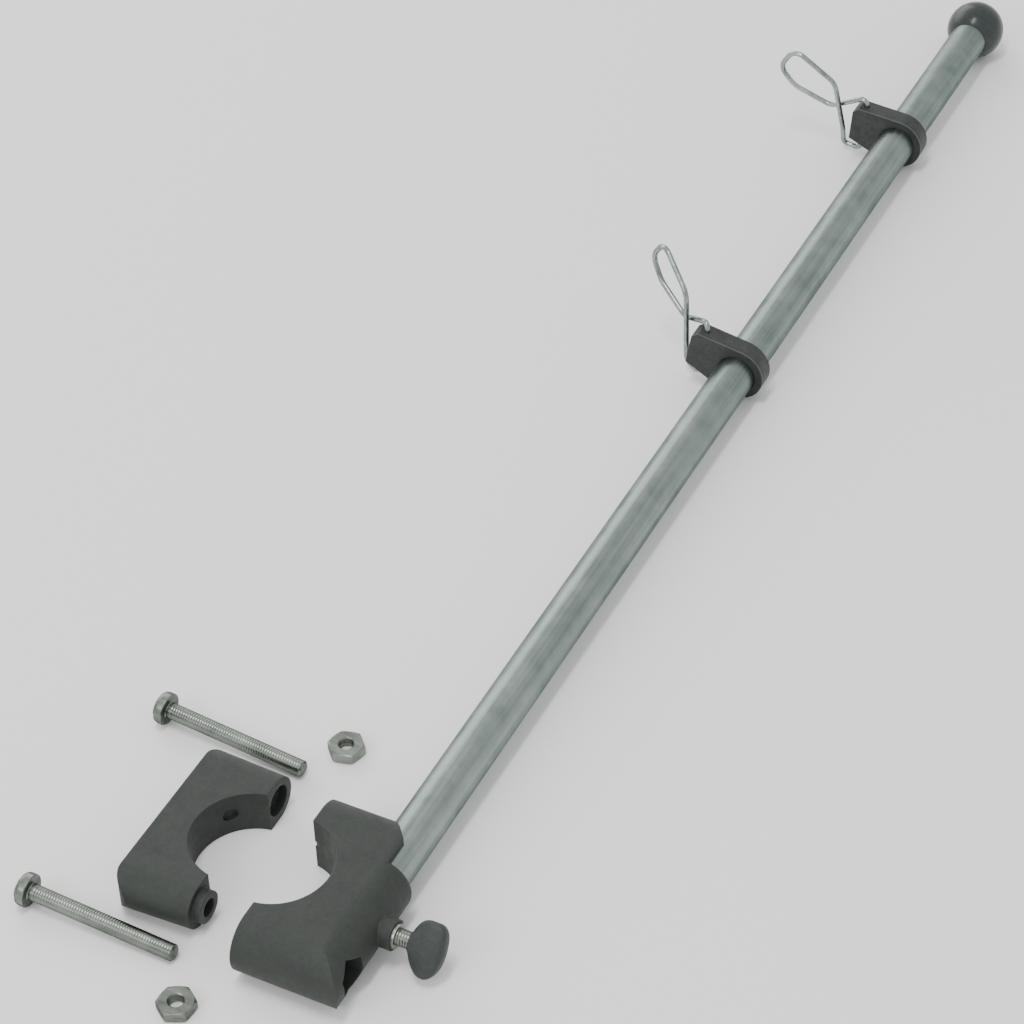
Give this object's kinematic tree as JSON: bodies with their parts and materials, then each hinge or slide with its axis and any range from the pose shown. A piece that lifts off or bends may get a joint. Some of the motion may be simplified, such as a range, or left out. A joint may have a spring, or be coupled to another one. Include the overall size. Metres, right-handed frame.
{
  "type": "rail mount flagpole",
  "caption": "Tube flagpole with a ball top, sliding clips with wire hooks, and a split rail clamp lying open, its loose cap, bolts and nuts laid beside it.",
  "frame": {"origin": "centre of the clamp body's rail bore, half way along the rail", "axes": "+X along the pole towards the ball, +Y from the clamp body towards its cap along the bolts, +Z along the rail, up as the kit lies"},
  "size_m": [0.5149, 0.1164, 0.0378],
  "materials": {
    "nylon": "charcoal glass-filled nylon, matte",
    "clip_nylon": "black nylon, matte",
    "knob_nylon": "black nylon, satin",
    "ball_plastic": "black plastic, glossy",
    "pole_steel": "stainless tube, brushed lengthways",
    "wire_steel": "bright drawn stainless wire",
    "screw_steel": "bright stainless",
    "steel_insert": "turned stainless",
    "bolt_steel": "stainless fasteners"
  },
  "bodies": {
    "clamp": {"clamp_body": "nylon", "screw_insert": "steel_insert"},
    "cap": {"clamp_cap": "nylon"},
    "pole": {"pole_tube": "pole_steel", "ball_finial": "ball_plastic"},
    "lower_clip": {"lower_clip": "clip_nylon"},
    "upper_clip": {"upper_clip": "clip_nylon"},
    "lower_hook": {"lower_clip_hook": "wire_steel"},
    "upper_hook": {"upper_clip_hook": "wire_steel"},
    "thumbscrew": {"thumbscrew_shank": "screw_steel"},
    "knob": {"thumbscrew_knob": "knob_nylon"},
    "upper_bolt": {"upper_bolt": "bolt_steel"},
    "lower_bolt": {"lower_bolt": "bolt_steel"},
    "upper_nut": {"upper_nut": "bolt_steel"},
    "lower_nut": {"lower_nut": "bolt_steel"}
  },
  "joints": [
    {"name": "cap_close", "type": "slide", "parent": "clamp", "child": "cap", "axis": [-0.431, -0.8908, 0.1437], "range_m": [0, 0.01392]},
    {"name": "pole_slide", "type": "slide", "parent": "clamp", "child": "pole", "axis": [1, 0, 0], "range_m": [0, 0.0235]},
    {"name": "lower_clip_slide", "type": "slide", "parent": "pole", "child": "lower_clip", "axis": [1, 0, 0], "range_m": [-0.18, 0.05]},
    {"name": "upper_clip_slide", "type": "slide", "parent": "pole", "child": "upper_clip", "axis": [1, 0, 0], "range_m": [-0.04, 0.055]},
    {"name": "lower_hook_swing", "type": "hinge", "parent": "lower_clip", "child": "lower_hook", "pos_m": [0.2466, -0.0123, 0.00226], "axis": [0, -0.1736, 0.9848], "range_deg": [-53, 117]},
    {"name": "upper_hook_swing", "type": "hinge", "parent": "upper_clip", "child": "upper_hook", "pos_m": [0.3826, -0.01215, 0.00113], "axis": [0, -0.0872, 0.9962], "range_deg": [-85, 85]},
    {"name": "thumbscrew_travel", "type": "slide", "parent": "clamp", "child": "thumbscrew", "axis": [0, -1, 0], "range_m": [0, 0.005]},
    {"name": "knob_turn", "type": "hinge", "parent": "thumbscrew", "child": "knob", "pos_m": [-0.0034, -0.0416, 0], "axis": [0, -1, 0], "range_deg": [0, 2270]},
    {"name": "upper_bolt_lift", "type": "slide", "parent": "clamp", "child": "upper_bolt", "axis": [0, 0, 1], "range_m": [0, 0.03]},
    {"name": "lower_bolt_lift", "type": "slide", "parent": "clamp", "child": "lower_bolt", "axis": [0, 0, 1], "range_m": [0, 0.03]},
    {"name": "upper_nut_lift", "type": "slide", "parent": "clamp", "child": "upper_nut", "axis": [0, 0, 1], "range_m": [0, 0.03]},
    {"name": "lower_nut_lift", "type": "slide", "parent": "clamp", "child": "lower_nut", "axis": [0, 0, 1], "range_m": [0, 0.03]}
  ],
  "couplings": [
    {"joint": "knob_turn", "follows": "thumbscrew_travel", "rad_per_m": 7915.8}
  ]
}
